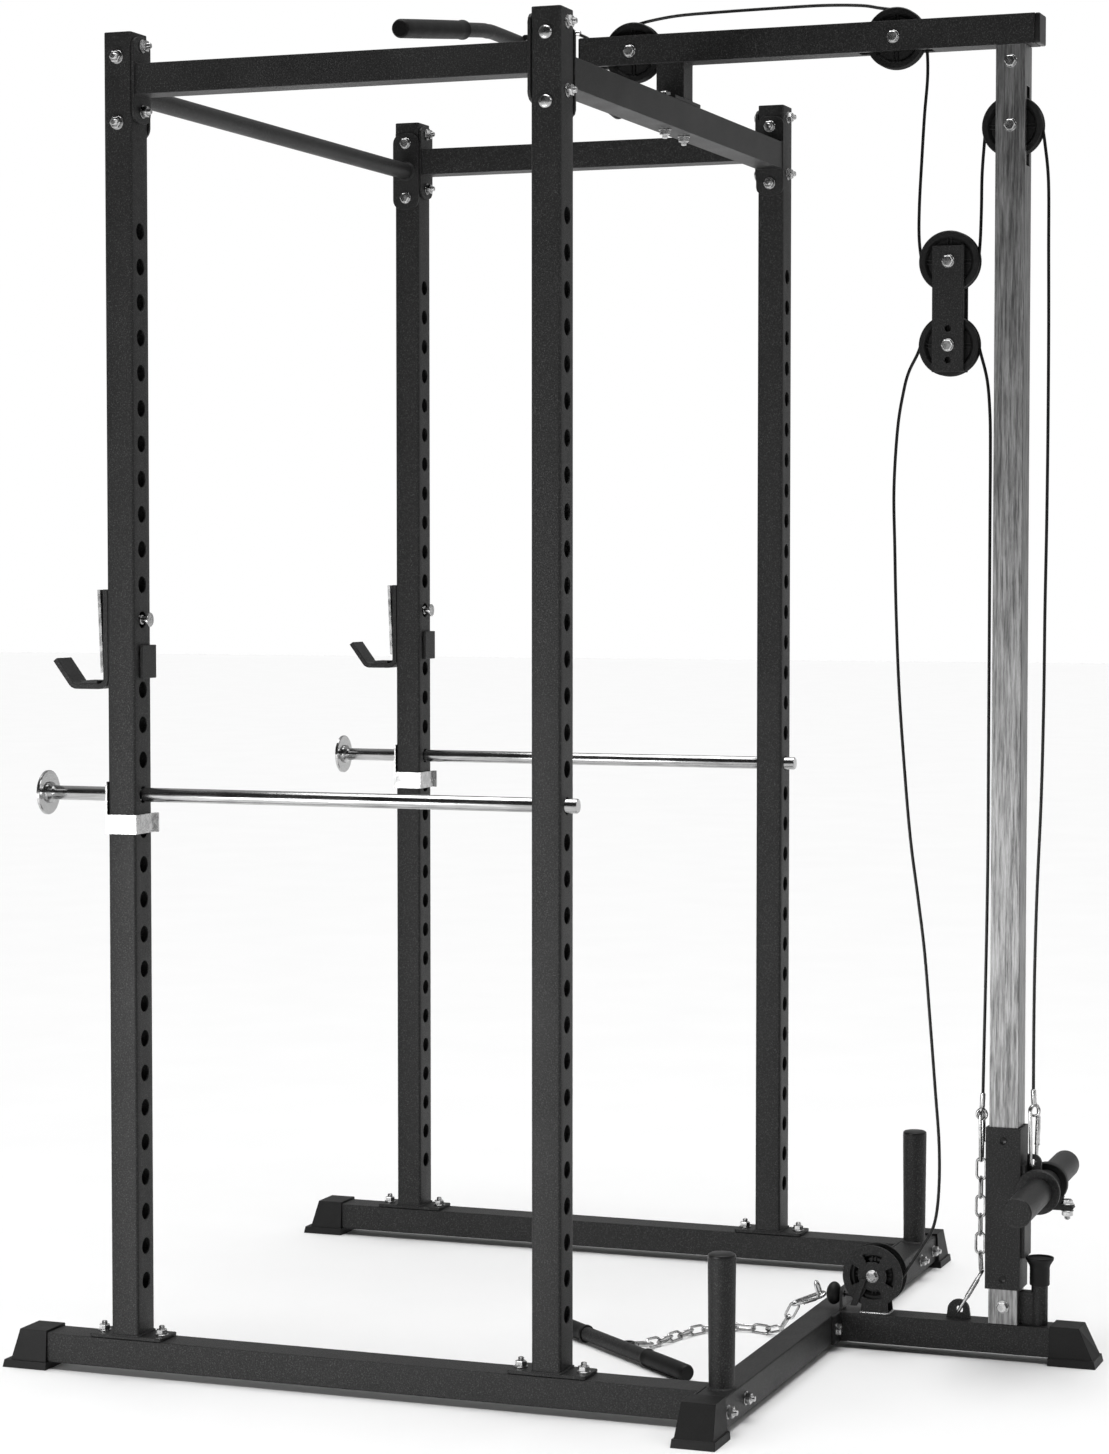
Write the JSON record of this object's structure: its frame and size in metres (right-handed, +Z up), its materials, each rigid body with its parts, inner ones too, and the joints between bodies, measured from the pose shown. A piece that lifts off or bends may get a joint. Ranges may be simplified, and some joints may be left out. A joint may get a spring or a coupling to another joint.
{
  "type": "power cage",
  "caption": "Power cage of bolted steel tube with J-hooks, sliding safety bars, a pull-up bar, and a rear pulley tower with a plate-loaded carriage, a lat bar and a row bar.",
  "frame": {"origin": "on the floor, under the middle of the outline of the whole cage with its tower", "axes": "+Z up; -Y is the front, where the J-hooks are; +Y is the rear, where the pulley tower stands; X runs across the cage"},
  "size_m": [1.518, 1.733, 2.3068],
  "materials": {
    "powder_coat": "fine-textured matt black powder coat",
    "zinc_plate": "bright zinc plate",
    "galvanised_steel": "dull hot-dip galvanising with a faint spangle",
    "rubber": "matt moulded black rubber",
    "nylon": "satin moulded black nylon",
    "cable_sheath": "smooth black sheath over wire rope"
  },
  "bodies": {
    "frame": {"side_base_near": "powder_coat", "side_base_far": "powder_coat", "rear_base": "powder_coat", "tail_base": "powder_coat", "upright_front_near": "powder_coat", "upright_rear_near": "powder_coat", "upright_front_far": "powder_coat", "upright_rear_far": "powder_coat", "side_beam_near": "powder_coat", "side_beam_far": "powder_coat", "rear_cross_beam": "powder_coat", "pull_up_bar": "powder_coat", "boom": "powder_coat", "lat_column": "galvanised_steel", "bumper_post": "powder_coat", "bumper_pad": "rubber", "foot_front_near": "rubber", "foot_front_far": "rubber", "foot_rear_near": "rubber", "foot_rear_far": "rubber", "foot_tail": "rubber", "storage_post_near": "powder_coat", "storage_post_far": "powder_coat", "front_pulley_bolt": "zinc_plate", "rear_pulley_bolt": "zinc_plate", "column_pulley_bolt": "zinc_plate", "low_pulley_bolt": "zinc_plate", "low_pulley_bracket": "powder_coat", "anchor_chain": "zinc_plate", "lat_cable_front": "cable_sheath", "lat_cable_loop": "cable_sheath", "lat_cable_drop": "cable_sheath", "low_cable": "cable_sheath", "low_cable_lead": "cable_sheath"},
    "front_pulley": {"front_pulley": "nylon"},
    "rear_pulley": {"rear_pulley": "nylon"},
    "column_pulley": {"column_pulley": "nylon"},
    "low_pulley": {"low_pulley": "nylon"},
    "pulley_block": {"block_plate_near": "powder_coat", "block_plate_far": "powder_coat", "block_upper_bolt": "zinc_plate", "block_lower_bolt": "zinc_plate"},
    "block_upper_pulley": {"block_upper_pulley": "nylon"},
    "block_lower_pulley": {"block_lower_pulley": "nylon"},
    "weight_carriage": {"carriage": "powder_coat", "weight_peg": "powder_coat"},
    "lat_bar": {"lat_bar": "powder_coat", "lat_grip_near": "rubber", "lat_grip_far": "rubber"},
    "row_bar": {"row_bar": "powder_coat", "row_grip_near": "rubber", "row_grip_far": "rubber", "row_chain": "zinc_plate", "ball_stop": "rubber"},
    "j_hook_near": {"j_hook_near": "powder_coat"},
    "j_hook_far": {"j_hook_far": "powder_coat"},
    "safety_lock_near": {"safety_lock_near": "zinc_plate"},
    "safety_lock_far": {"safety_lock_far": "zinc_plate"},
    "safety_bar_near": {"safety_bar_near": "zinc_plate"},
    "safety_bar_far": {"safety_bar_far": "zinc_plate"}
  },
  "joints": [
    {"name": "carriage_lift", "type": "slide", "parent": "frame", "child": "weight_carriage", "axis": [0, 0, 1], "range_m": [0, 1], "deforming": ["lat_cable_drop"]},
    {"name": "lat_bar_pull", "type": "slide", "parent": "frame", "child": "lat_bar", "axis": [0, 0, -1], "range_m": [0, 1], "deforming": ["lat_cable_front"]},
    {"name": "front_pulley_spin", "type": "hinge", "parent": "frame", "child": "front_pulley", "pos_m": [0, 0.0335, 2.241], "axis": [1, 0, 0], "continuous": true},
    {"name": "rear_pulley_spin", "type": "hinge", "parent": "frame", "child": "rear_pulley", "pos_m": [0, 0.5035, 2.241], "axis": [1, 0, 0], "continuous": true},
    {"name": "column_pulley_spin", "type": "hinge", "parent": "frame", "child": "column_pulley", "pos_m": [0, 0.7055, 2.084], "axis": [1, 0, 0], "continuous": true},
    {"name": "row_bar_pull", "type": "slide", "parent": "frame", "child": "row_bar", "axis": [0, -1, 0], "range_m": [0, 0.9], "deforming": ["low_cable_lead"]},
    {"name": "block_drop", "type": "slide", "parent": "frame", "child": "pulley_block", "axis": [0, 0, -1], "range_m": [0, 0.45], "deforming": ["lat_cable_loop", "low_cable"]},
    {"name": "block_upper_pulley_spin", "type": "hinge", "parent": "pulley_block", "child": "block_upper_pulley", "pos_m": [0, 0.5985, 1.862], "axis": [1, 0, 0], "continuous": true},
    {"name": "block_lower_pulley_spin", "type": "hinge", "parent": "pulley_block", "child": "block_lower_pulley", "pos_m": [0, 0.5985, 1.721], "axis": [1, 0, 0], "continuous": true},
    {"name": "low_pulley_spin", "type": "hinge", "parent": "frame", "child": "low_pulley", "pos_m": [0, 0.4755, 0.1265], "axis": [1, 0, 0], "continuous": true},
    {"name": "j_hook_near_swing", "type": "hinge", "parent": "frame", "child": "j_hook_near", "pos_m": [0.61, -0.6405, 1.26], "axis": [0, 1, 0], "range_deg": [0, 90]},
    {"name": "j_hook_far_swing", "type": "hinge", "parent": "frame", "child": "j_hook_far", "pos_m": [-0.61, -0.6405, 1.26], "axis": [0, 1, 0], "range_deg": [0, 90]},
    {"name": "safety_lock_near_turn", "type": "hinge", "parent": "frame", "child": "safety_lock_near", "pos_m": [0.61, -0.6405, 0.97], "axis": [0, -1, 0], "range_deg": [0, 90]},
    {"name": "safety_lock_far_turn", "type": "hinge", "parent": "frame", "child": "safety_lock_far", "pos_m": [-0.61, -0.6405, 0.97], "axis": [0, -1, 0], "range_deg": [0, 90]},
    {"name": "safety_bar_near_pull", "type": "slide", "parent": "frame", "child": "safety_bar_near", "axis": [0, -1, 0], "range_m": [0, 0.74]},
    {"name": "safety_bar_far_pull", "type": "slide", "parent": "frame", "child": "safety_bar_far", "axis": [0, -1, 0], "range_m": [0, 0.74]}
  ],
  "couplings": [
    {"joint": "lat_bar_pull", "follows": "carriage_lift", "ratio": 1},
    {"joint": "front_pulley_spin", "follows": "carriage_lift", "rad_per_m": 20.833},
    {"joint": "rear_pulley_spin", "follows": "carriage_lift", "rad_per_m": 20.833},
    {"joint": "column_pulley_spin", "follows": "carriage_lift", "rad_per_m": 20.833},
    {"joint": "block_upper_pulley_spin", "follows": "carriage_lift", "rad_per_m": -20.833},
    {"joint": "block_drop", "follows": "row_bar_pull", "ratio": 0.5},
    {"joint": "block_lower_pulley_spin", "follows": "row_bar_pull", "rad_per_m": 10.417},
    {"joint": "low_pulley_spin", "follows": "row_bar_pull", "rad_per_m": -24.39}
  ]
}
